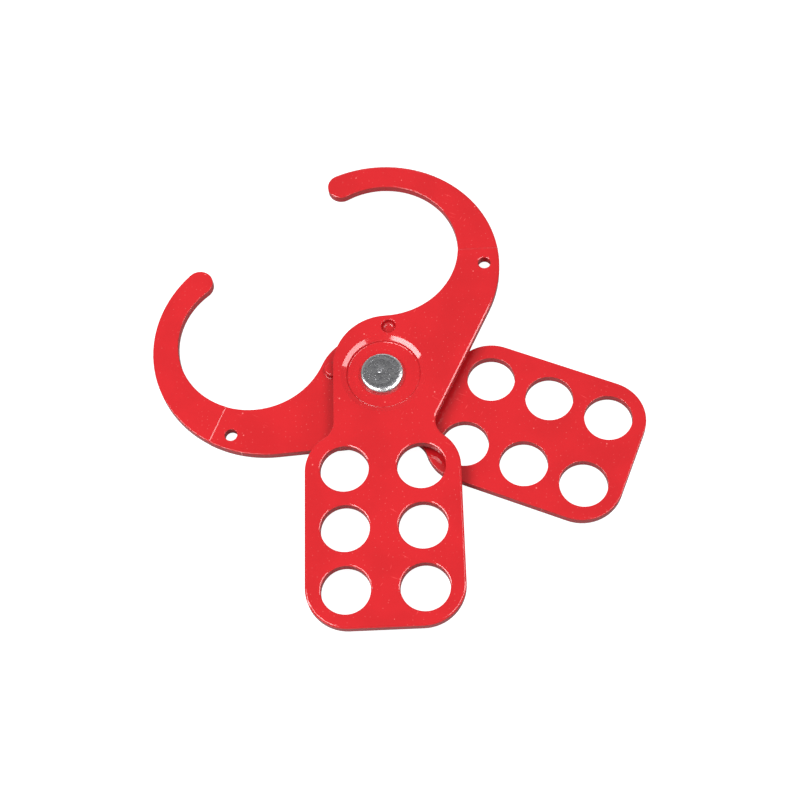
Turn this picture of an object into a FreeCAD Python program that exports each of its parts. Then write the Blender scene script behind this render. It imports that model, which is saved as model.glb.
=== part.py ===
import FreeCAD, Part

import math
import os

import Sketcher

# Scissor lockout hasp: two identical stamped leaves, one of them turned over, on one pivot rivet.
# The frame is +Z up through the rivet, with z = 0 at the flat underside of the rivet's tail.
# The front leaf's padlock tab points along -Y and its hook along +Y. The back leaf is turned
# over about Y and then swung open about Z.

doc = FreeCAD.newDocument("lockout_hasp")
sheet = doc.addObject("Spreadsheet::Sheet", "Sizes")

# millimetres, and degrees where the name says angle
SIZES = {
    "plate_thickness": 2.4,
    "running_gap": 0.1,  # between the two leaves' dish floors
    "play": 0.05,  # between the back leaf and the rivet, all round and under the tail
    "open_angle": 66.84,  # how far the back leaf stands open
    # the tab that takes the padlocks
    "tab_offset": -0.3,  # of its middle line, from the pivot
    "tab_half_width": 19.2,
    "tab_end": 66.3,
    "corner_radius": 10.4,
    "shoulder_drop": 25.95,  # from the pivot down to the centres of the tab's upper corners
    "hole_diameter": 12.0,
    "hole_column": 9.45,
    "first_row": 25.67,
    "row_pitch": 15.55,
    # the neck and the disc round the pivot
    "neck_fillet": 5.0,
    "disc_radius": 13.6,
    "disc_right": 1.3,
    "disc_up": 2.8,
    "slant_angle": 26.6,  # the straight outer side, from the Y axis
    # the hook
    "hook_radius": 30.8,
    "hook_right": 0.4,
    "hook_up": 30.95,
    "jaw_radius": 19.5,
    "jaw_right": 1.1,
    "tip_radius": 3.55,
    # the step that sets the hook over towards the other leaf
    "joggle_at": 34.35,
    "joggle_step": 0.2,
    # the dish sunk round the rivet: a gentle slope, a short steep wall, then the flat floor
    "dish_depth": 1.0,
    "dish_right": 0.4,  # of its centre, from the pivot
    "dish_rim": 10.75,
    "dish_ledge": 9.4,  # radius of the edge between slope and wall
    "ledge_drop": 0.5,
    "dish_floor": 9.15,
    "dish_round": 0.15,
    "foot_round": 0.3,
    "bulge_rim": 11.0,  # its bulge on the inner side
    # the hook's step and the bulge's side: a straight slope between two bends
    "step_bend": 0.6,
    "step_angle": 20.0,
    # the half-sheared stop: a dimple outside, a nub inside
    "nub_reach": 13.35,
    "nub_angle": 8.6,  # from the Y axis, towards the hook's arm
    "nub_diameter": 3.9,
    "nub_height": 1.4,
    "nub_round": 0.5,
    "nub_fillet": 0.25,  # where it meets the leaf
    "dimple_diameter": 3.6,
    "dimple_round": 0.3,
    "dimple_fillet": 1.0,  # where its wall meets its floor
    # the small hole in the hook's arm
    "eyelet_diameter": 3.2,
    "eyelet_right": 27.3,
    "eyelet_up": 30.35,
    # the outer side's edges, rolled over by the punch: widths, and the drop for each mm of width
    "rim_roll": 0.45,
    "hole_roll": 0.35,
    "roll_slope": 0.36,
    "rim_round": 0.2,  # of the inner side's outline
    # the pivot rivet, whose shank is swollen tight in the front leaf
    "pivot_hole": 6.5,
    "head_diameter": 11.7,
    "head_taper": 0.65,
    "head_height": 1.5,
    "head_round": 0.8,
    "tail_diameter": 11.0,
    "tail_height": 1.75,
    "tail_round": 0.8,
}
for row, (alias, value) in enumerate(SIZES.items(), start=1):
    sheet.set(f"A{row}", alias.replace("_", " "))
    sheet.set(f"B{row}", str(value))
    sheet.setAlias(f"B{row}", alias)
doc.recompute()


def size(alias):
    return float(sheet.get(alias))


def vec(x, y, z=0.0):
    return FreeCAD.Vector(x, y, z)


def origin_plane(body, role):
    return next(f for f in body.Origin.OriginFeatures if f.Role == role)


def new_body(name):
    body = doc.addObject("PartDesign::Body", name)
    body.Label = name
    return body


# A sketch on one of the body's own origin planes, lifted off it by an expression.
def new_sketch(body, name, role, lift=None):
    sketch = body.newObject("Sketcher::SketchObject", name)
    sketch.AttachmentSupport = (origin_plane(body, role), "")
    sketch.MapMode = "FlatFace"
    if lift:
        sketch.setExpression("AttachmentOffset.Base.z", lift)
    return sketch


# A dimension of the sketch, named and bound to the sheet.
def dimension(sketch, name, expression, *constraint):
    number = sketch.addConstraint(Sketcher.Constraint(*constraint))
    sketch.renameConstraint(number, name)
    sketch.setExpression(f"Constraints.{name}", expression)


# A point of the sketch held at bound distances from the origin.
def place(sketch, name, number, position, across=None, up=None):
    for kind, tail, expression in (("DistanceX", "across", across), ("DistanceY", "up", up)):
        if expression:
            value = float(sketch.evalExpression(expression))
            where = (kind, -1, 1, number, position, value)
            dimension(sketch, f"{name}_{tail}", expression, *where)


def add_line(sketch, start, end):
    return sketch.addGeometry(Part.LineSegment(start, end), False)


# An arc from one point anticlockwise to another.
def add_arc(sketch, centre, start, end):
    circle = Part.Circle(centre, vec(0, 0, 1), (start - centre).Length)
    angles = [math.atan2(p.y - centre.y, p.x - centre.x) for p in (start, end)]
    return sketch.addGeometry(Part.ArcOfCircle(circle, *angles), False)


# A circle with its centre and diameter bound to the sheet.
def add_circle(sketch, name, diameter, across="0", up="0"):
    x, y, wide = (float(sketch.evalExpression(e)) for e in (across, up, diameter))
    number = sketch.addGeometry(Part.Circle(vec(x, y), vec(0, 0, 1), wide / 2), False)
    dimension(sketch, f"{name}_diameter", diameter, "Diameter", number, wide)
    place(sketch, name, number, 3, across, up)


# A closed run of straight lines through corners given as (name, across, up) expressions.
def add_polygon(sketch, corners):
    points = [vec(*(float(sketch.evalExpression(e)) for e in c[1:])) for c in corners]
    lines = [add_line(sketch, a, b) for a, b in zip(points, points[1:] + points[:1])]
    for line, following in zip(lines, lines[1:] + lines[:1]):
        sketch.addConstraint(Sketcher.Constraint("Coincident", line, 2, following, 1))
    for line, (name, across, up) in zip(lines, corners):
        place(sketch, name, line, 1, across, up)


# The leaf's whole outline, seen from its outer face, as fifteen tangent lines and arcs.
def add_leaf_outline(sketch):
    corner, fillet = size("corner_radius"), size("neck_fillet")
    disc_r, hook_r = size("disc_radius"), size("hook_radius")
    jaw_r, tip_r = size("jaw_radius"), size("tip_radius")
    slant = math.radians(size("slant_angle"))
    along = vec(math.sin(slant), math.cos(slant))
    outward = vec(math.cos(slant), -math.sin(slant))
    disc = vec(size("disc_right"), size("disc_up"))
    hook = vec(size("hook_right"), size("hook_up"))
    jaw_x = size("jaw_right")
    jaw = vec(jaw_x, disc.y + math.sqrt((disc_r + jaw_r) ** 2 - (jaw_x - disc.x) ** 2))
    # the tip's centre, a tip radius inside the hook's circle and outside the jaw's
    apart = (jaw - hook).Length
    toward_jaw = (jaw - hook) / apart
    reach = ((hook_r - tip_r) ** 2 - (jaw_r + tip_r) ** 2 + apart**2) / (2 * apart)
    aside = math.sqrt((hook_r - tip_r) ** 2 - reach**2)
    tip = hook + toward_jaw * reach + vec(-toward_jaw.y, toward_jaw.x) * aside
    # the four corner arcs of the tab and the two hollow arcs of the neck
    middle, inset = size("tab_offset"), size("tab_half_width") - corner
    right_shoulder = vec(middle + inset, -size("shoulder_drop"))
    left_shoulder = vec(middle - inset, -size("shoulder_drop"))
    low_right = vec(middle + inset, corner - size("tab_end"))
    low_left = vec(middle - inset, corner - size("tab_end"))
    line_top = hook + outward * hook_r
    off = (line_top - right_shoulder).dot(outward) + fillet
    climb = math.sqrt((corner + fillet) ** 2 - off**2)
    right_neck = right_shoulder + outward * off + along * climb
    neck_x = disc.x - disc_r
    off = neck_x - fillet - left_shoulder.x
    climb = math.sqrt((corner + fillet) ** 2 - off**2)
    left_neck = left_shoulder + vec(off, climb)
    share = corner / (corner + fillet)

    right, up = vec(1, 0), vec(0, 1)
    disc_top = disc + (jaw - disc) * (disc_r / (disc_r + jaw_r))
    tip_out = tip + (tip - hook).normalize() * tip_r
    tip_in = tip + (jaw - tip).normalize() * tip_r
    line_foot = right_neck - outward * fillet
    right_turn = right_shoulder + (right_neck - right_shoulder) * share
    left_turn = left_shoulder + (left_neck - left_shoulder) * share
    neck_foot = vec(neck_x, left_neck.y)
    neck_top = vec(neck_x, disc.y)

    # anticlockwise from the tab's lower edge; each entry ends with its first and last points
    run = [
        ("tab_end", add_line(sketch, low_left - up * corner, low_right - up * corner), 1, 2),
        ("low_right", add_arc(sketch, low_right, low_right - up * corner,
                              low_right + right * corner), 1, 2),
        ("tab_right", add_line(sketch, low_right + right * corner,
                               right_shoulder + right * corner), 1, 2),
        ("right_shoulder", add_arc(sketch, right_shoulder, right_shoulder + right * corner,
                                   right_turn), 1, 2),
        ("right_neck", add_arc(sketch, right_neck, line_foot, right_turn), 2, 1),
        ("slant", add_line(sketch, line_foot, line_top), 1, 2),
        ("hook", add_arc(sketch, hook, line_top, tip_out), 1, 2),
        ("tip", add_arc(sketch, tip, tip_out, tip_in), 1, 2),
        ("jaw", add_arc(sketch, jaw, disc_top, tip_in), 2, 1),
        ("disc", add_arc(sketch, disc, disc_top, neck_top), 1, 2),
        ("neck", add_line(sketch, neck_top, neck_foot), 1, 2),
        ("left_neck", add_arc(sketch, left_neck, left_turn, neck_foot), 2, 1),
        ("left_shoulder", add_arc(sketch, left_shoulder, left_turn,
                                  left_shoulder - right * corner), 1, 2),
        ("tab_left", add_line(sketch, left_shoulder - right * corner,
                              low_left - right * corner), 1, 2),
        ("low_left", add_arc(sketch, low_left, low_left - right * corner,
                             low_left - up * corner), 1, 2),
    ]
    for (_, one, _, end), (_, other, start, _) in zip(run, run[1:] + run[:1]):
        sketch.addConstraint(Sketcher.Constraint("Tangent", one, end, other, start))
    edge = {name: number for name, number, _, _ in run}
    sketch.addConstraint(Sketcher.Constraint("Horizontal", edge["tab_end"]))
    for name in ("tab_right", "tab_left", "neck"):
        sketch.addConstraint(Sketcher.Constraint("Vertical", edge[name]))
    radii = {
        "corner_radius": ("low_right", "right_shoulder", "left_shoulder", "low_left"),
        "neck_fillet": ("right_neck", "left_neck"),
        "hook_radius": ("hook",),
        "tip_radius": ("tip",),
        "jaw_radius": ("jaw",),
        "disc_radius": ("disc",),
    }
    for alias, names in radii.items():
        for name in names:
            radius = ("Radius", edge[name], size(alias))
            dimension(sketch, f"{name}_radius", f"Sizes.{alias}", *radius)
    side = "(Sizes.tab_half_width - Sizes.corner_radius)"
    drop, foot = "-Sizes.shoulder_drop", "Sizes.corner_radius - Sizes.tab_end"
    place(sketch, "low_right", edge["low_right"], 3, f"Sizes.tab_offset + {side}", foot)
    place(sketch, "low_left", edge["low_left"], 3, f"Sizes.tab_offset - {side}")
    place(sketch, "right_shoulder", edge["right_shoulder"], 3, up=drop)
    place(sketch, "left_shoulder", edge["left_shoulder"], 3, up=drop)
    place(sketch, "disc", edge["disc"], 3, "Sizes.disc_right", "Sizes.disc_up")
    place(sketch, "hook", edge["hook"], 3, "Sizes.hook_right", "Sizes.hook_up")
    place(sketch, "jaw", edge["jaw"], 3, "Sizes.jaw_right")
    lean = ("Angle", edge["slant"], math.pi / 2 - slant)
    dimension(sketch, "slant_lean", "(90 - Sizes.slant_angle) * 1 deg", *lean)


def new_pad(body, name, profile, length, reverse=False):
    pad = body.newObject("PartDesign::Pad", name)
    pad.Profile = profile
    pad.Reversed = reverse
    pad.setExpression("Length", length)
    return settle(body, pad, 1)


def new_pocket(body, name, profile, depth=None, both_ways=False, reverse=False):
    pocket = body.newObject("PartDesign::Pocket", name)
    pocket.Profile = profile
    pocket.Reversed = reverse
    if both_ways:
        pocket.SideType = "Symmetric"
    if depth:
        pocket.setExpression("Length", depth)
    else:
        pocket.Type = "ThroughAll"
    return settle(body, pocket, -1)


def new_turn(body, kind, name, profile):
    turn = body.newObject(f"PartDesign::{kind}", name)
    turn.Profile = profile
    turn.ReferenceAxis = (profile, ["V_Axis"])
    turn.Angle = 360
    return settle(body, turn, 1 if kind == "Revolution" else -1)


# Recompute, and stop if the feature failed or changed the volume the wrong way.
volumes = {}


def settle(body, feature, sign):
    doc.recompute()
    profile = feature.Profile[0] if hasattr(feature, "Profile") else feature
    for item in (profile, feature):
        if set(item.State) & {"Invalid", "Error"}:
            raise RuntimeError(f"{body.Label}: {item.Name} is {item.State}")
    before, now = volumes.get(body.Name, 0.0), feature.Shape.Volume
    if (now - before) * sign <= 0:
        raise RuntimeError(f"{body.Label}: {feature.Name} changed nothing")
    volumes[body.Name] = now
    print(f"{body.Label:12} {feature.Name:24} {now:10.2f} mm3")
    return feature


# A step with level ends, from its upper end rightwards and down: a bend, a straight slope and
# a bend back. Returns the two bends; each one's second point is the step's end on its level.
def add_step(sketch, name, start, high, drop):
    x, top, deep = (float(sketch.evalExpression(e)) for e in (start, high, drop))
    bend, lean = size("step_bend"), math.radians(size("step_angle"))
    turn = vec(bend * math.sin(lean), bend * (math.cos(lean) - 1))
    straight = (deep + 2 * turn.y) / math.sin(lean)
    begin = vec(x, top)
    first = begin + turn
    second = first + vec(math.cos(lean), -math.sin(lean)) * straight
    finish = second + turn
    upper = add_arc(sketch, begin - vec(0, bend), first, begin)
    slope = add_line(sketch, first, second)
    lower = add_arc(sketch, finish + vec(0, bend), second, finish)
    sketch.addConstraint(Sketcher.Constraint("Tangent", upper, 1, slope, 1))
    sketch.addConstraint(Sketcher.Constraint("Tangent", slope, 2, lower, 1))
    sketch.addConstraint(Sketcher.Constraint("Equal", upper, lower))
    for arc in (upper, lower):
        sketch.addConstraint(Sketcher.Constraint("Vertical", arc, 2, arc, 3))
    dimension(sketch, f"{name}_bend", "Sizes.step_bend", "Radius", upper, bend)
    dimension(sketch, f"{name}_angle", "-Sizes.step_angle * 1 deg", "Angle", slope, -lean)
    place(sketch, f"{name}_start", upper, 2, start, high)
    place(sketch, f"{name}_finish", lower, 2, up=f"{high} - {drop}")
    return upper, lower


# Close a step into a region: straight lines from its lower end, through the corners given as
# (name, across, up) expressions, to its upper end.
def close_step(sketch, upper, lower, corners):
    start, finish = sketch.getPoint(lower, 2), sketch.getPoint(upper, 2)
    points = [vec(*(float(sketch.evalExpression(e)) for e in c[1:])) for c in corners]
    stops = [start, *points, finish]
    lines = [add_line(sketch, a, b) for a, b in zip(stops, stops[1:])]
    joins = [(lower, 2), *((line, 2) for line in lines)]
    for (before, end), (after, begin) in zip(joins, [*((n, 1) for n in lines), (upper, 2)]):
        sketch.addConstraint(Sketcher.Constraint("Coincident", before, end, after, begin))
    for line, (name, across, up) in zip(lines, corners):
        place(sketch, name, line, 2, across, up)


# A stamped leaf in its own frame: the pivot is the Z axis, +Z is the outer side, and z = 0 is
# the inner face of the dish's floor.
def make_leaf(name):
    body = new_body(name)
    inner, outer = "Sizes.dish_depth", "(Sizes.dish_depth + Sizes.plate_thickness)"

    outline = new_sketch(body, f"{name}_outline", "XY_Plane")
    add_leaf_outline(outline)
    new_pad(body, f"{name}_blank", outline, outer)

    # the hook set over: cut its outer side down, and the whole inner side up
    side = new_sketch(body, f"{name}_side", "YZ_Plane")
    start, far = "Sizes.joggle_at", "(2 * Sizes.tab_end)"
    arcs = add_step(side, "outer", start, outer, "Sizes.joggle_step")
    close_step(side, *arcs, [
        ("outer_end", far, f"{outer} - Sizes.joggle_step"),
        ("outer_over", far, f"2 * {outer}"),
        ("outer_back", start, f"2 * {outer}"),
    ])
    arcs = add_step(side, "inner", start, inner, "Sizes.joggle_step")
    close_step(side, *arcs, [
        ("inner_end", far, f"{inner} - Sizes.joggle_step"),
        ("inner_under", far, f"-{outer}"),
        ("inner_back", f"-{far}", f"-{outer}"),
        ("inner_near", f"-{far}", inner),
    ])
    new_pocket(body, f"{name}_joggle", side, both_ways=True)

    # the dish: a recess on the outer side and the bulge that it pushes out of the inner side
    dish = new_sketch(body, f"{name}_dish", "XZ_Plane")
    dish.setExpression("AttachmentOffset.Base.x", "Sizes.dish_right")
    add_polygon(dish, [
        ("floor_centre", "0", f"{outer} - Sizes.dish_depth"),
        ("floor_rim", "Sizes.dish_floor", f"{outer} - Sizes.dish_depth"),
        ("ledge", "Sizes.dish_ledge", f"{outer} - Sizes.ledge_drop"),
        ("rim", "Sizes.dish_rim", outer),
        ("over_rim", "Sizes.dish_rim", f"2 * {outer}"),
        ("over_centre", "0", f"2 * {outer}"),
    ])
    recess = new_turn(body, "Groove", f"{name}_recess", dish)
    rims = ring_edges(recess.Shape, ("dish_rim", "dish_ledge"), 1)
    eased = new_fillet(body, f"{name}_dish_rims", recess, rims, "Sizes.dish_round")
    foot = ring_edges(eased.Shape, ("dish_floor",), 1)
    new_fillet(body, f"{name}_dish_foot", eased, foot, "Sizes.foot_round", sign=1)
    bulge = new_sketch(body, f"{name}_bulge_profile", "XZ_Plane")
    bulge.setExpression("AttachmentOffset.Base.x", "Sizes.dish_right")
    arcs = add_step(bulge, "foot", "-Sizes.bulge_rim", inner, inner)
    middle = f"({inner} + Sizes.plate_thickness / 4)"
    close_step(bulge, *arcs, [
        ("top_centre", "0", "0"),
        ("inside_centre", "0", middle),
        ("inside_rim", "-Sizes.bulge_rim", middle),
    ])
    new_turn(body, "Revolution", f"{name}_bulge", bulge)

    # the stop
    turn = "Sizes.nub_angle * 1 deg"
    stop = (f"Sizes.nub_reach * sin({turn})", f"Sizes.nub_reach * cos({turn})")
    nub = new_sketch(body, f"{name}_nub_circle", "XY_Plane", inner)
    add_circle(nub, "nub", "Sizes.nub_diameter", *stop)
    raised = new_pad(body, f"{name}_nub", nub, "Sizes.nub_height", reverse=True)
    foot_z, outer_z = size("dish_depth"), size("dish_depth") + size("plate_thickness")
    end = ring_edges(raised.Shape, ("nub_diameter",), 0.5, foot_z - size("nub_height"))
    eased = new_fillet(body, f"{name}_nub_end", raised, end, "Sizes.nub_round")
    foot = ring_edges(eased.Shape, ("nub_diameter",), 0.5, foot_z)
    new_fillet(body, f"{name}_nub_foot", eased, foot, "Sizes.nub_fillet", sign=1)
    dimple = new_sketch(body, f"{name}_dimple_circle", "XY_Plane", outer)
    add_circle(dimple, "dimple", "Sizes.dimple_diameter", *stop)
    sunk = new_pocket(body, f"{name}_dimple", dimple, depth="Sizes.nub_height")
    rim = ring_edges(sunk.Shape, ("dimple_diameter",), 0.5, outer_z)
    eased = new_fillet(body, f"{name}_dimple_rim", sunk, rim, "Sizes.dimple_round")
    foot = ring_edges(eased.Shape, ("dimple_diameter",), 0.5, outer_z - size("nub_height"))
    new_fillet(body, f"{name}_dimple_foot", eased, foot, "Sizes.dimple_fillet", sign=1)

    # the pivot hole, the small hole in the hook's arm and six padlock holes
    holes = new_sketch(body, f"{name}_hole_circles", "XY_Plane")
    add_circle(holes, "pivot", "Sizes.pivot_hole")
    add_circle(holes, "eyelet", "Sizes.eyelet_diameter", "Sizes.eyelet_right", "Sizes.eyelet_up")
    for line in range(3):
        for side_name, sign in (("left", "-"), ("right", "+")):
            up = f"-Sizes.first_row - {line} * Sizes.row_pitch"
            across = f"Sizes.tab_offset {sign} Sizes.hole_column"
            add_circle(holes, f"{side_name}_{line}", "Sizes.hole_diameter", across, up)
    pierced = new_pocket(body, f"{name}_holes", holes, reverse=True)

    inner_rim = rim_edges(pierced.Shape, outline.Shape, outer_side=False)
    rounded = new_fillet(body, f"{name}_rim", pierced, inner_rim, "Sizes.rim_round")
    outer_rim = rim_edges(rounded.Shape, outline.Shape, outer_side=True)
    rolled = new_roll(body, f"{name}_rolled_rim", rounded, outer_rim, "rim_roll", wall_first=True)
    rings = ring_edges(rolled.Shape, ("hole_diameter", "eyelet_diameter"), 0.5, outer_z)
    new_roll(body, f"{name}_rolled_holes", rolled, rings, "hole_roll")
    return body


# The edges of the outer or the inner face that follow the leaf's outline.
def rim_edges(shape, outline, outer_side):
    names = []
    middle_z = size("dish_depth") + size("plate_thickness") / 2
    for number, edge in enumerate(shape.Edges, start=1):
        first, middle, last = (
            edge.valueAt(edge.FirstParameter + f * (edge.LastParameter - edge.FirstParameter))
            for f in (0, 0.5, 1)
        )
        upright = abs(first.x - last.x) + abs(first.y - last.y) < 1e-6
        below = Part.Vertex(vec(middle.x, middle.y))
        this_side = (middle.z > middle_z) == outer_side
        if this_side and not upright and below.distToShape(outline)[0] < 1e-4:
            names.append(f"Edge{number}")
    return names


# The whole circles whose radii are the given sizes times a scale, at one height if it is given.
def ring_edges(shape, aliases, scale, level=None):
    radii = [size(alias) * scale for alias in aliases]
    return [
        f"Edge{number}"
        for number, edge in enumerate(shape.Edges, start=1)
        if isinstance(edge.Curve, Part.Circle)
        and edge.Closed
        and any(abs(edge.Curve.Radius - radius) < 1e-6 for radius in radii)
        and (level is None or abs(edge.Curve.Center.z - level) < 1e-6)
    ]


def new_fillet(body, name, base, edges, radius, sign=-1):
    fillet = body.newObject("PartDesign::Fillet", name)
    fillet.Base = (base, edges)
    fillet.setExpression("Radius", radius)
    return settle(body, fillet, sign)


# A shallow slope along edges of the outer face. A chamfer's first length lies on whichever of
# the two faces comes first in the shape, so it is flipped where that is the wall.
def new_roll(body, name, base, edges, alias, wall_first=False):
    roll = body.newObject("PartDesign::Chamfer", name)
    roll.Base = (base, edges)
    roll.ChamferType = "Two distances"
    roll.FlipDirection = wall_first
    roll.setExpression("Size", f"Sizes.{alias}")
    roll.setExpression("Size2", f"Sizes.{alias} * Sizes.roll_slope")
    return settle(body, roll, -1)


# The rivet in the row's frame: tail, shank, the swollen stretch in the front leaf, and head.
def make_rivet():
    body = new_body("pivot_rivet")
    profile = new_sketch(body, "rivet_profile", "XZ_Plane")
    shank = "(Sizes.pivot_hole / 2 - Sizes.play)"
    head = "Sizes.head_diameter / 2"
    seat = f"({front_height} + Sizes.plate_thickness)"
    top = f"{seat} + Sizes.head_height"
    add_polygon(profile, [
        ("tail_centre", "0", "0"),
        ("tail_rim", "Sizes.tail_diameter / 2", "0"),
        ("tail_side", "Sizes.tail_diameter / 2", "Sizes.tail_height"),
        ("tail_neck", shank, "Sizes.tail_height"),
        ("shank_top", shank, front_height),
        ("swell_foot", "Sizes.pivot_hole / 2", front_height),
        ("swell_top", "Sizes.pivot_hole / 2", seat),
        ("head_seat", head, seat),
        ("head_rim", f"{head} - Sizes.head_taper", top),
        ("head_centre", "0", top),
    ])
    turned = new_turn(body, "Revolution", "rivet_turned", profile)
    box = turned.Shape.BoundBox
    for name, level, radius in (("head", box.ZMax, "head_round"), ("tail", box.ZMin, "tail_round")):
        rims = [
            f"Edge{number}"
            for number, edge in enumerate(turned.Shape.Edges, start=1)
            if edge.Closed and abs(edge.CenterOfMass.z - level) < 1e-6
        ]
        turned = new_fillet(body, f"rivet_{name}_round", body.Tip, rims, f"Sizes.{radius}")
    return body


# heights of the two leaves' own frames
back_height = "(Sizes.tail_height + Sizes.play + Sizes.plate_thickness)"
front_height = f"({back_height} + Sizes.running_gap)"

front_leaf = make_leaf("front_leaf")
front_leaf.setExpression("Placement.Base.z", front_height)

# turned over about Y and swung open about Z, which together are half a turn about one line
back_leaf = make_leaf("back_leaf")
half = math.radians(size("open_angle") / 2)
fold = FreeCAD.Rotation(vec(-math.sin(half), math.cos(half)), 180)
back_leaf.Placement = FreeCAD.Placement(vec(0, 0, 0), fold)
back_leaf.setExpression("Placement.Base.z", back_height)

pivot_rivet = make_rivet()
doc.recompute()

for item in doc.Objects:
    if set(item.State) & {"Invalid", "Error"}:
        raise RuntimeError(f"{item.Label} is {item.State}")

os.makedirs("parts", exist_ok=True)
for body in (front_leaf, back_leaf, pivot_rivet):
    shape = body.Shape
    if shape.isNull() or not shape.isValid() or len(shape.Solids) != 1:
        raise RuntimeError(f"{body.Label} is not one valid solid")
    shape.exportStep(f"parts/{body.Label}.step")
    box = shape.BoundBox
    print(f"{body.Label:12} {box.XLength:7.2f} {box.YLength:7.2f} {box.ZLength:7.2f} mm,"
          f" z {box.ZMin:.2f} to {box.ZMax:.2f}")
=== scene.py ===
import math

import bmesh
import bpy
from mathutils import Euler, Matrix, Vector


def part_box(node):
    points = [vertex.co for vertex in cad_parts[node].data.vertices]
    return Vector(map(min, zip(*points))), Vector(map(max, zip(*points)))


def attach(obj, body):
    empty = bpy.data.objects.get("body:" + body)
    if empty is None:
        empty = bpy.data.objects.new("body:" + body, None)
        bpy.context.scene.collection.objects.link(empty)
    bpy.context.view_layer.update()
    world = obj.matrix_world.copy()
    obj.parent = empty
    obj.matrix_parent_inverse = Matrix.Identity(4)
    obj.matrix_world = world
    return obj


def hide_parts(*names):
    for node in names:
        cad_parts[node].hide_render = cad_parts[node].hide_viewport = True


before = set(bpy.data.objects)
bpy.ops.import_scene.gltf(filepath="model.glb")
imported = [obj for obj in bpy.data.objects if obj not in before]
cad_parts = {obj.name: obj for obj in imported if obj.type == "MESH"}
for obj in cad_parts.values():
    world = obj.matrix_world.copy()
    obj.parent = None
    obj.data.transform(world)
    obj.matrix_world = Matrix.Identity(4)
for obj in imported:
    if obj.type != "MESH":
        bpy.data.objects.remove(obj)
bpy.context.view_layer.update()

print("frame loaded:", sorted(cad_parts))


def deselectAll():
    if bpy.context.object and bpy.context.object.mode != "OBJECT":
        bpy.ops.object.mode_set(mode="OBJECT")
    bpy.ops.object.select_all(action="DESELECT")


deselectAll()

# camera: above the padlock tab's side, looking down and a little to the left
cameraLook = {
    "place": (0.02047, -0.17425, 0.36011),
    "turnDegrees": (25.1757, 3.3153, -1.4987),
    "lens": 70.372,
    "sensor": 36.0,
    "nearest": 0.01,
}


def makeCamera():
    cameraData = bpy.data.cameras.new("camera")
    cameraData.lens = cameraLook["lens"]
    cameraData.sensor_width = cameraLook["sensor"]
    cameraData.clip_start = cameraLook["nearest"]
    camera = bpy.data.objects.new("camera", cameraData)
    camera.location = cameraLook["place"]
    camera.rotation_euler = Euler([math.radians(a) for a in cameraLook["turnDegrees"]])
    bpy.context.scene.collection.objects.link(camera)
    bpy.context.scene.camera = camera


makeCamera()
print("camera placed")

# studio: a pale floor, long soft lights left and right overhead, low ones in front and behind,
# and a weak fill from above
studio = {
    "floorSize": 3.0,
    "floorColour": (0.30, 0.30, 0.30, 1.0),
    "floorRoughness": 0.9,
    "floorGlow": 0.95,  # lifts the floor to a clean pale tone where the camera sees it
    "fillColour": (1.0, 1.0, 1.0, 1.0),
    "fillAbove": 0.34,
    "fillLow": 0.10,  # near the horizon
    "fillFade": (0.1, 0.4),  # where low turns into above: 0 is level, 1 is straight up
    "lampDistance": 0.6,
    # the directions of each lamp's two ends from the rivet, its width in metres and its watts
    "lamps": {
        "leftLamp": ((-0.236, -0.242, 0.940), (-0.646, 0.118, 0.755), 0.20, 3.2),
        "rightLamp": ((0.275, -0.185, 0.943), (0.590, 0.245, 0.770), 0.18, 1.8),
        "frontLamp": ((-0.850, -0.420, 0.420), (0.750, -0.500, 0.430), 0.30, 1.1),
        "backLamp": ((-0.750, 0.640, 0.150), (0.750, 0.640, 0.150), 0.12, 0.5),
    },
}


def makeFloor():
    deselectAll()
    bpy.ops.mesh.primitive_plane_add(size=studio["floorSize"])
    floor = bpy.context.object
    floor.name = "floor"
    material = bpy.data.materials.new("paleFloor")
    material.use_nodes = True
    nodes, links = material.node_tree.nodes, material.node_tree.links
    shader = nodes["Principled BSDF"]
    shader.inputs["Base Color"].default_value = studio["floorColour"]
    shader.inputs["Roughness"].default_value = studio["floorRoughness"]
    glow = nodes.new("ShaderNodeEmission")
    glow.inputs["Strength"].default_value = studio["floorGlow"]
    lifted = nodes.new("ShaderNodeAddShader")
    links.new(shader.outputs[0], lifted.inputs[0])
    links.new(glow.outputs[0], lifted.inputs[1])
    seen = nodes.new("ShaderNodeLightPath")
    choice = nodes.new("ShaderNodeMixShader")
    links.new(seen.outputs["Is Camera Ray"], choice.inputs[0])
    links.new(shader.outputs[0], choice.inputs[1])
    links.new(lifted.outputs[0], choice.inputs[2])
    links.new(choice.outputs[0], nodes["Material Output"].inputs["Surface"])
    floor.data.materials.append(material)


def makeLamps():
    distance = studio["lampDistance"]
    for name, (oneEnd, otherEnd, width, watts) in studio["lamps"].items():
        oneEnd, otherEnd = Vector(oneEnd).normalized(), Vector(otherEnd).normalized()
        lampData = bpy.data.lights.new(name, "AREA")
        lampData.shape = "RECTANGLE"
        lampData.size = 2 * distance * math.tan(oneEnd.angle(otherEnd) / 2)
        lampData.size_y = width
        lampData.energy = watts
        lamp = bpy.data.objects.new(name, lampData)
        away = (oneEnd + otherEnd).normalized()
        along = (otherEnd - oneEnd).normalized()
        turn = Matrix((along, away.cross(along), away)).transposed()
        lamp.matrix_world = Matrix.Translation(away * distance) @ turn.to_4x4()
        bpy.context.scene.collection.objects.link(lamp)


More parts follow.
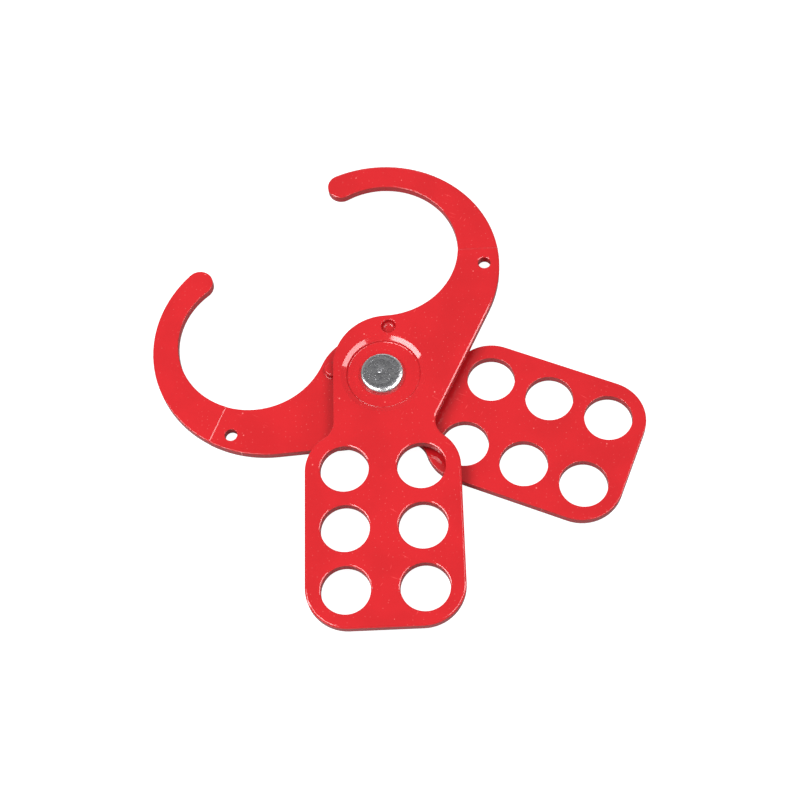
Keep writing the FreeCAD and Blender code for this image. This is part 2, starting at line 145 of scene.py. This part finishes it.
def makeWorld():
    world = bpy.data.worlds.new("studioFill")
    world.use_nodes = True
    nodes, links = world.node_tree.nodes, world.node_tree.links
    toward = nodes.new("ShaderNodeTexCoord")
    parts = nodes.new("ShaderNodeSeparateXYZ")
    fade = nodes.new("ShaderNodeMapRange")
    links.new(toward.outputs["Generated"], parts.inputs[0])
    links.new(parts.outputs["Z"], fade.inputs["Value"])
    lowest, highest = studio["fillFade"]
    fade.inputs["From Min"].default_value = lowest
    fade.inputs["From Max"].default_value = highest
    fade.inputs["To Min"].default_value = studio["fillLow"]
    fade.inputs["To Max"].default_value = studio["fillAbove"]
    links.new(fade.outputs[0], nodes["Background"].inputs["Strength"])
    nodes["Background"].inputs["Color"].default_value = studio["fillColour"]
    bpy.context.scene.world = world
    bpy.context.scene.view_settings.view_transform = "Standard"


makeFloor()
makeLamps()
makeWorld()
print("studio lit")


# a node with its inputs, each a value or another node's socket, and its settings
def addNode(tree, kind, inputs=None, **settings):
    node = tree.nodes.new(kind)
    for name, value in settings.items():
        setattr(node, name, value)
    for name, value in (inputs or {}).items():
        socket = node.inputs[name]
        if isinstance(value, bpy.types.NodeSocket):
            tree.links.new(value, socket)
        else:
            socket.default_value = value
    return node


# a group with its sockets: {name: (kind, usual value)} going in, {name: kind} coming out
def newGroup(name, goingIn, comingOut):
    group = bpy.data.node_groups.new(name, "ShaderNodeTree")
    for label, (kind, value) in goingIn.items():
        socket = group.interface.new_socket(label, in_out="INPUT", socket_type=kind)
        if value is not None:
            socket.default_value = value
    for label, kind in comingOut.items():
        group.interface.new_socket(label, in_out="OUTPUT", socket_type=kind)
    start = group.nodes.new("NodeGroupInput")
    finish = group.nodes.new("NodeGroupOutput")
    return group, start.outputs, finish.inputs


def useGroup(tree, group, inputs):
    node = tree.nodes.new("ShaderNodeGroup")
    node.node_tree = group
    for name, value in inputs.items():
        if isinstance(value, bpy.types.NodeSocket):
            tree.links.new(value, node.inputs[name])
        else:
            node.inputs[name].default_value = value
    return node.outputs


def maths(tree, operation, first, second=0.0, clamp=False):
    node = addNode(tree, "ShaderNodeMath", {0: first, 1: second}, operation=operation)
    node.use_clamp = clamp
    return node.outputs[0]


# value from low..high stretched to start..finish, smoothly
def ramp(tree, value, low, high, start=0.0, finish=1.0):
    inputs = {"Value": value, "From Min": low, "From Max": high, "To Min": start, "To Max": finish}
    return addNode(tree, "ShaderNodeMapRange", inputs, interpolation_type="SMOOTHSTEP").outputs[0]


def scaled(tree, vector, scale):
    inputs = {0: vector, "Scale": scale}
    return addNode(tree, "ShaderNodeVectorMath", inputs, operation="SCALE").outputs[0]


def blended(tree, kind, factor, first, second):
    node = addNode(tree, "ShaderNodeMix", data_type=kind)
    number = {"FLOAT": 2, "RGBA": 6}[kind]
    for slot, value in ((0, factor), (number, first), (number + 1, second)):
        if isinstance(value, bpy.types.NodeSocket):
            tree.links.new(value, node.inputs[slot])
        else:
            node.inputs[slot].default_value = value
    return node.outputs[{"FLOAT": 0, "RGBA": 2}[kind]]


# shapes that every use of an effect shares
effectShape = {
    "speckSizes": (0.5, 1.2),  # smallest and largest, as shares of the size asked for
    "speckSoftness": 0.6,
    "scuffWave": 220.0,  # waves per metre
    "scuffPush": 0.0012,  # metres that the waves push a scuff aside
    "scuffEdge": (0.10, 0.34),  # where a scuff starts and ends to fade
    "wearAndSheenSamples": 6,
    "shadeSamples": 8,
}


# fine specks: dots scattered over the flat faces in cells, only some cells having one
def makeDustSpecks():
    number, vector = "NodeSocketFloat", "NodeSocketVector"
    goingIn = {"Place": (vector, None), "Spacing": (number, 0.002), "Size": (number, 0.12),
               "Share": (number, 0.5)}
    group, given, result = newGroup("dustSpecks", goingIn, {"Mask": number})
    perMetre = maths(group, "DIVIDE", 1.0, given["Spacing"])
    cells = addNode(group, "ShaderNodeTexVoronoi", {
        "Vector": scaled(group, given["Place"], perMetre), "Scale": 1.0}, voronoi_dimensions="2D")
    # each cell's colour is random: one part of it picks the cell, another sizes the dot
    parts = addNode(group, "ShaderNodeSeparateColor", {"Color": cells.outputs["Color"]}).outputs
    varied = ramp(group, parts[1], 0.0, 1.0, *effectShape["speckSizes"])
    size = maths(group, "MULTIPLY", given["Size"], varied)
    inside = maths(group, "SUBTRACT", size, cells.outputs["Distance"])
    fade = maths(group, "MULTIPLY", size, effectShape["speckSoftness"])
    dot = maths(group, "DIVIDE", inside, fade, clamp=True)
    chosen = maths(group, "LESS_THAN", parts[0], given["Share"])
    group.links.new(maths(group, "MULTIPLY", dot, chosen), result["Mask"])
    return group


# slow unevenness, as in sprayed or tumbled finishes
def makeSoftMottle():
    number, vector = "NodeSocketFloat", "NodeSocketVector"
    goingIn = {"Place": (vector, None), "Size": (number, 0.01), "Detail": (number, 3.0),
               "Low": (number, 0.35), "High": (number, 0.65)}
    group, given, result = newGroup("softMottle", goingIn, {"Mask": number})
    perMetre = maths(group, "DIVIDE", 1.0, given["Size"])
    noise = addNode(group, "ShaderNodeTexNoise", {
        "Vector": scaled(group, given["Place"], perMetre), "Scale": 1.0,
        "Detail": given["Detail"]})
    mask = ramp(group, noise.outputs[0], given["Low"], given["High"])
    group.links.new(mask, result["Mask"])
    return group


# short thin scuffs, a little wavy, all lying along the turn and only in some cells
def makeHandlingScuffs():
    number, vector = "NodeSocketFloat", "NodeSocketVector"
    goingIn = {"Place": (vector, None), "Length": (number, 0.004), "Width": (number, 0.0003),
               "Turn": (number, 0.0), "Share": (number, 0.3)}
    group, given, result = newGroup("handlingScuffs", goingIn, {"Mask": number})
    turned = addNode(group, "ShaderNodeVectorRotate", {
        "Vector": given["Place"], "Angle": given["Turn"]}, rotation_type="Z_AXIS").outputs[0]
    wavy = addNode(group, "ShaderNodeTexNoise", {
        "Vector": scaled(group, turned, effectShape["scuffWave"]), "Scale": 1.0, "Detail": 1.0})
    push = scaled(group, wavy.outputs["Color"], effectShape["scuffPush"])
    bent = addNode(group, "ShaderNodeVectorMath", {0: turned, 1: push},
                   operation="ADD").outputs[0]
    across = addNode(group, "ShaderNodeCombineXYZ", {
        0: given["Length"], 1: given["Width"], 2: given["Length"]}).outputs[0]
    stretched = addNode(group, "ShaderNodeVectorMath", {0: bent, 1: across}, operation="DIVIDE")
    strokes = addNode(group, "ShaderNodeTexVoronoi", {
        "Vector": stretched.outputs[0], "Scale": 1.0})
    parts = addNode(group, "ShaderNodeSeparateColor", {"Color": strokes.outputs["Color"]}).outputs
    line = ramp(group, strokes.outputs["Distance"], *effectShape["scuffEdge"], 1.0, 0.0)
    chosen = maths(group, "LESS_THAN", parts[0], given["Share"])
    group.links.new(maths(group, "MULTIPLY", line, chosen), result["Mask"])
    return group


# corners, found where a rounded normal leaves the true one: a mask for lighter edges, partly
# thinner enamel and rubbed zinc, partly painted sheen
def makeEdgeWearAndSheen():
    number = "NodeSocketFloat"
    goingIn = {"Reach": (number, 0.0004), "Low": (number, 0.02), "High": (number, 0.25)}
    group, given, result = newGroup("edgeWearAndSheen", goingIn, {"Mask": number})
    rounded = addNode(group, "ShaderNodeBevel", {"Radius": given["Reach"]},
                      samples=effectShape["wearAndSheenSamples"])
    surface = addNode(group, "ShaderNodeNewGeometry")
    alike = addNode(group, "ShaderNodeVectorMath", {
        0: rounded.outputs[0], 1: surface.outputs["Normal"]}, operation="DOT_PRODUCT")
    apart = maths(group, "SUBTRACT", 1.0, alike.outputs["Value"], clamp=True)
    group.links.new(ramp(group, apart, given["Low"], given["High"]), result["Mask"])
    return group


# painted shade: a mask of the corners and hollows that little light gets into, for darkening
# colour there
def makeCreviceShade():
    number = "NodeSocketFloat"
    goingIn = {"Reach": (number, 0.003), "Low": (number, 0.12), "High": (number, 0.75)}
    group, given, result = newGroup("creviceShade", goingIn, {"Mask": number})
    around = addNode(group, "ShaderNodeAmbientOcclusion", {"Distance": given["Reach"]},
                     samples=effectShape["shadeSamples"])
    closed = maths(group, "SUBTRACT", 1.0, around.outputs["AO"])
    group.links.new(ramp(group, closed, given["Low"], given["High"]), result["Mask"])
    return group


dustSpecks = makeDustSpecks()
softMottle = makeSoftMottle()
handlingScuffs = makeHandlingScuffs()
edgeWearAndSheen = makeEdgeWearAndSheen()
creviceShade = makeCreviceShade()
print("surface effects made")


def newMaterial(name):
    material = bpy.data.materials.new(name)
    material.use_nodes = True
    tree = material.node_tree
    place = tree.nodes.new("ShaderNodeTexCoord").outputs["Object"]
    return material, tree, tree.nodes["Principled BSDF"], place


# one mask of an effect that lies over the piece
def effectMask(tree, place, group, inputs):
    return useGroup(tree, group, {"Place": place, **inputs})["Mask"]


def weakened(tree, value, share):
    return maths(tree, "MULTIPLY", value, share)


# the colour with the look's own colours laid over it, each by its share
def laidOver(tree, colour, look, layers):
    for share, name in layers:
        colour = blended(tree, "RGBA", share, colour, look[name])
    return colour


redEnamel = {
    "colour": (0.515, 0.0118, 0.0162, 1.0),
    "deepColour": (0.475, 0.0106, 0.0145, 1.0),
    # painted shade: the colour laid into corners and hollows
    "creviceShadeColour": (0.24, 0.0030, 0.0045, 1.0),
    "speckColour": (0.80, 0.22, 0.20, 1.0),
    "scuffColour": (0.80, 0.085, 0.085, 1.0),
    # lighter edge colour: partly thinner enamel on edges, partly a painted sheen
    "edgeColour": (0.74, 0.030, 0.028, 1.0),
    "gloss": 0.07,
    "dullest": 0.16,
    "ior": 1.5,
    # spacings, sizes of clouds, patches and peel, and lengths are in metres, turns in radians;
    # a speck's size is a share of its spacing
    "fineSpecks": {"Spacing": 0.0014, "Size": 0.10, "Share": 0.45},
    "fineStrength": 0.26,
    "bigSpecks": {"Spacing": 0.00602, "Size": 0.032, "Share": 0.3},
    "bigStrength": 0.8,
    "clouds": {"Size": 0.012},
    "cloudDulling": 0.35,
    "scuffsOneWay": {"Turn": 0.5, "Length": 0.004, "Share": 0.05},
    "scuffsOtherWay": {"Turn": -1.1, "Length": 0.0025, "Share": 0.05},
    "scuffPatches": {"Size": 0.016, "Low": 0.56, "High": 0.66},
    "scuffStrength": 0.55,
    "edgeStrength": 0.5,
    "peel": {"Size": 0.0022, "Detail": 1.0, "Low": 0.2, "High": 0.8},
    "peelRise": 0.6,
    "speckRise": 0.5,
    "reliefStrength": 0.022,
    "reliefHeight": 0.001,
    "softEdge": 0.0003,  # metres over which the enamel rounds off an edge
    "softSamples": 8,
}


def makeEnamel():
    look = redEnamel
    material, tree, shader, place = newMaterial("redEnamel")
    shader.inputs["IOR"].default_value = look["ior"]
    clouds = effectMask(tree, place, softMottle, look["clouds"])
    peel = effectMask(tree, place, softMottle, look["peel"])
    fineSpecks = effectMask(tree, place, dustSpecks, look["fineSpecks"])
    bigSpecks = effectMask(tree, place, dustSpecks, look["bigSpecks"])
    specks = maths(tree, "MAXIMUM", weakened(tree, fineSpecks, look["fineStrength"]),
                   weakened(tree, bigSpecks, look["bigStrength"]))
    oneWay = effectMask(tree, place, handlingScuffs, look["scuffsOneWay"])
    otherWay = effectMask(tree, place, handlingScuffs, look["scuffsOtherWay"])
    patches = effectMask(tree, place, softMottle, look["scuffPatches"])
    scuffs = maths(tree, "MULTIPLY", maths(tree, "MAXIMUM", oneWay, otherWay), patches)
    edges = useGroup(tree, edgeWearAndSheen, {})["Mask"]
    hollows = useGroup(tree, creviceShade, {})["Mask"]

    colour = blended(tree, "RGBA", clouds, look["deepColour"], look["colour"])
    colour = laidOver(tree, colour, look, (
        # edges lighter: partly thinner enamel, partly painted sheen
        (weakened(tree, edges, look["edgeStrength"]), "edgeColour"),
        (weakened(tree, scuffs, look["scuffStrength"]), "scuffColour"),
        (specks, "speckColour"),
        # painted shade: darker colour in corners and hollows where little light gets in
        (hollows, "creviceShadeColour"),
    ))
    tree.links.new(colour, shader.inputs["Base Color"])

    dull = maths(tree, "MAXIMUM", scuffs, weakened(tree, clouds, look["cloudDulling"]))
    rough = blended(tree, "FLOAT", dull, look["gloss"], look["dullest"])
    tree.links.new(rough, shader.inputs["Roughness"])

    relief = maths(tree, "ADD", weakened(tree, peel, look["peelRise"]),
                   weakened(tree, specks, look["speckRise"]))
    softened = addNode(tree, "ShaderNodeBevel", {"Radius": look["softEdge"]},
                       samples=look["softSamples"])
    bump = addNode(tree, "ShaderNodeBump", {
        "Strength": look["reliefStrength"], "Distance": look["reliefHeight"], "Height": relief,
        "Normal": softened.outputs[0]})
    tree.links.new(bump.outputs[0], shader.inputs["Normal"])
    return material


zincPlate = {
    "colour": (0.50, 0.50, 0.51, 1.0),
    "darkColour": (0.16, 0.16, 0.17, 1.0),
    # painted highlight colour for glints, edges and the rim
    "brightColour": (0.88, 0.88, 0.88, 1.0),
    "gloss": 0.16,
    "dullest": 0.38,
    # sizes and spacings are in metres; a pit's or a glint's size is a share of its spacing
    "blotches": {"Size": 0.0008, "Detail": 5.0, "Low": 0.36, "High": 0.60},
    "grain": {"Size": 0.0004, "Detail": 3.0, "Low": 0.35, "High": 0.65},
    "leastBlotch": 0.45,  # what is left of a blotch where the grain is thinnest
    "pits": {"Spacing": 0.00055, "Size": 0.34, "Share": 0.45},
    "pitStrength": 0.7,
    "glints": {"Spacing": 0.0009, "Size": 0.16, "Share": 0.30},
    "edges": {"Reach": 0.0003},
    "edgeStrength": 0.8,
    "rimFrom": 0.0046,  # metres from the pivot; farther out it is polished and painted bright as a highlight
    "rimTo": 0.0050,
    "rimStrength": 0.85,
    "grainRise": 0.5,
    "reliefStrength": 0.25,
    "reliefHeight": 0.0001,
}


def makeZinc():
    look = zincPlate
    material, tree, shader, place = newMaterial("zincPlate")
    shader.inputs["Metallic"].default_value = 1.0
    blotches = effectMask(tree, place, softMottle, look["blotches"])
    grain = effectMask(tree, place, softMottle, look["grain"])
    pits = effectMask(tree, place, dustSpecks, look["pits"])
    glints = effectMask(tree, place, dustSpecks, look["glints"])
    edges = useGroup(tree, edgeWearAndSheen, look["edges"])["Mask"]
    # the polished rim, also brightened in colour as a painted highlight, is told by its distance
    # from the pivot
    flat = addNode(tree, "ShaderNodeVectorMath", {0: place, 1: (1.0, 1.0, 0.0)},
                   operation="MULTIPLY").outputs[0]
    reach = addNode(tree, "ShaderNodeVectorMath", {0: flat}, operation="LENGTH").outputs["Value"]
    rim = ramp(tree, reach, look["rimFrom"], look["rimTo"])

    mixed = maths(tree, "MULTIPLY", blotches, ramp(tree, grain, 0.0, 1.0, look["leastBlotch"]))
    # painted highlights: glints, edges and the polished rim laid on in a bright colour
    bright = maths(tree, "MAXIMUM", glints, weakened(tree, edges, look["edgeStrength"]))
    bright = maths(tree, "MAXIMUM", bright, weakened(tree, rim, look["rimStrength"]))
    colour = blended(tree, "RGBA", mixed, look["darkColour"], look["colour"])
    colour = laidOver(tree, colour, look, (
        (weakened(tree, pits, look["pitStrength"]), "darkColour"),
        (bright, "brightColour"),
    ))
    tree.links.new(colour, shader.inputs["Base Color"])

    smooth = maths(tree, "MAXIMUM", mixed, rim)
    rough = blended(tree, "FLOAT", smooth, look["dullest"], look["gloss"])
    tree.links.new(rough, shader.inputs["Roughness"])

    relief = maths(tree, "SUBTRACT", weakened(tree, grain, look["grainRise"]), pits)
    bump = addNode(tree, "ShaderNodeBump", {
        "Strength": look["reliefStrength"], "Distance": look["reliefHeight"], "Height": relief})
    tree.links.new(bump.outputs[0], shader.inputs["Normal"])
    return material


enamel = makeEnamel()
zinc = makeZinc()
print("enamel and zinc mixed")


def dress(name, material):
    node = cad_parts[name]
    node.data.materials.clear()
    node.data.materials.append(material)


dress("front_leaf", enamel)
dress("back_leaf", enamel)
print("leaves enamelled")

# the rivet, round about the pivot; lengths in metres, heights above the tail's underside
rivetShape = {
    "sides": 128,
    "headSeat": 0.0067,
    "rimRadius": 0.00535,
    # up from the rim to the face: how far in and how far up each step goes
    "rimSteps": ((0.00008, 0.00010), (0.00022, 0.00012), (0.00026, 0.00010), (0.00014, 0.00004)),
    "faceShift": (-0.00040, 0.00018),  # the face lies off centre, so one side of the rim is wide
    "shankRadius": 0.0032,
    "swellRadius": 0.00325,
    "swellFoot": 0.0043,
    "tailRadius": 0.0055,
    "tailTop": 0.00175,
    "tailRound": 0.0008,
    "tailRoundSteps": 8,
    "tailRing": 0.3,  # a ring in the tail's flat, as a share of its radius
    # the head's face from its rim inwards: radius as a share of the face's, height below its top
    "faceRings": ((0.84, 0.00001), (0.78, 0.00005), (0.72, 0.00005), (0.64, 0.00002),
                  (0.40, 0.00002), (0.16, 0.00004), (0.08, 0.00011)),
    "pipInset": 0.45,
    "pipHeight": 0.00008,
    "smoothDegrees": 32,
    "same": 1e-7,  # nearer than this is the same height or place
    "facing": 0.9,  # how straight up or down a picked face looks, of 1
}


def pickFaces(mesh, test):
    bpy.ops.mesh.select_mode(type="FACE")
    bpy.ops.mesh.select_all(action="DESELECT")
    picked = bmesh.from_edit_mesh(mesh)
    for face in picked.faces:
        face.select_set(test(face))
    bmesh.update_edit_mesh(mesh)


def pickEdges(mesh, test):
    bpy.ops.mesh.select_mode(type="EDGE")
    bpy.ops.mesh.select_all(action="DESELECT")
    picked = bmesh.from_edit_mesh(mesh)
    for edge in picked.edges:
        edge.select_set(test(edge))
    bmesh.update_edit_mesh(mesh)


def makeRivet():
    low, high = (Vector(corner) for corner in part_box("pivot_rivet"))
    headRadius = (high.x - low.x) / 2
    top, seat = high.z, rivetShape["headSeat"]
    deselectAll()
    bpy.ops.mesh.primitive_cylinder_add(
        vertices=rivetShape["sides"], radius=headRadius, depth=top - seat,
        end_fill_type="NGON", location=(0, 0, (top + seat) / 2))
    rivet = bpy.context.object
    rivet.name = "pivotRivet"
    bpy.ops.object.transform_apply(location=True, rotation=True, scale=True)
    mesh = rivet.data
    bpy.ops.object.mode_set(mode="EDIT")

    def shrinkTo(radius, before):
        bpy.ops.transform.resize(value=(radius / before, radius / before, 1.0))

    def move(z, x=0.0, y=0.0):
        bpy.ops.transform.translate(value=(x, y, z))

    # head: tapered side, then the steps of the rim up to its face
    pickFaces(mesh, lambda face: face.normal.z > rivetShape["facing"])
    shrinkTo(rivetShape["rimRadius"], headRadius)
    steps = rivetShape["rimSteps"]
    wide, tall = (sum(values) for values in zip(*steps))
    move(-tall)
    for inwards, upwards in steps:
        bpy.ops.mesh.inset(thickness=inwards)
        share = inwards / wide
        move(upwards, *(shift * share for shift in rivetShape["faceShift"]))
    # rings pressed into the face
    flatRadius = rivetShape["rimRadius"] - wide
    depth, radius = 0.0, flatRadius
    for share, sunk in rivetShape["faceRings"]:
        bpy.ops.mesh.inset(thickness=radius - share * flatRadius)
        move(depth - sunk)
        depth, radius = sunk, share * flatRadius
    bpy.ops.mesh.inset(thickness=radius * rivetShape["pipInset"])
    move(rivetShape["pipHeight"])
    bpy.ops.mesh.poke()

    # shank: swollen in the upper leaf, straight in the lower one, then the tail
    pickFaces(mesh, lambda face: face.normal.z < -rivetShape["facing"])
    bpy.ops.mesh.inset(thickness=headRadius - rivetShape["swellRadius"])
    runs = (
        (rivetShape["swellRadius"], rivetShape["swellFoot"]),
        (rivetShape["shankRadius"], rivetShape["swellFoot"]),
        (rivetShape["shankRadius"], rivetShape["tailTop"]),
        (rivetShape["tailRadius"], rivetShape["tailTop"]),
        (rivetShape["tailRadius"], 0.0),
    )
    height, radius = seat, rivetShape["swellRadius"]
    for nextRadius, nextHeight in runs:
        bpy.ops.mesh.extrude_region_move(
            TRANSFORM_OT_translate={"value": (0, 0, nextHeight - height)})
        if nextRadius != radius:
            shrinkTo(nextRadius, radius)
        height, radius = nextHeight, nextRadius
    same, tailRound = rivetShape["same"], rivetShape["tailRound"]
    pickEdges(mesh, lambda edge: all(abs(corner.co.z) < same for corner in edge.verts))
    bpy.ops.mesh.bevel(offset=tailRound, offset_type="OFFSET",
                       segments=rivetShape["tailRoundSteps"])
    # the tail's flat is the only face that lies at the very bottom
    pickFaces(mesh, lambda face: abs(face.calc_center_median().z) < same)
    flat = rivetShape["tailRadius"] - tailRound
    bpy.ops.mesh.inset(thickness=flat * rivetShape["tailRing"])
    bpy.ops.mesh.poke()
    bpy.ops.mesh.select_all(action="SELECT")
    bpy.ops.mesh.remove_doubles(threshold=same)
    bpy.ops.mesh.normals_make_consistent(inside=False)
    bpy.ops.object.mode_set(mode="OBJECT")
    bpy.ops.object.shade_smooth_by_angle(angle=math.radians(rivetShape["smoothDegrees"]))
    mesh.materials.append(zinc)
    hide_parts("pivot_rivet")
    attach(rivet, "front")


makeRivet()
print("rivet turned and set")
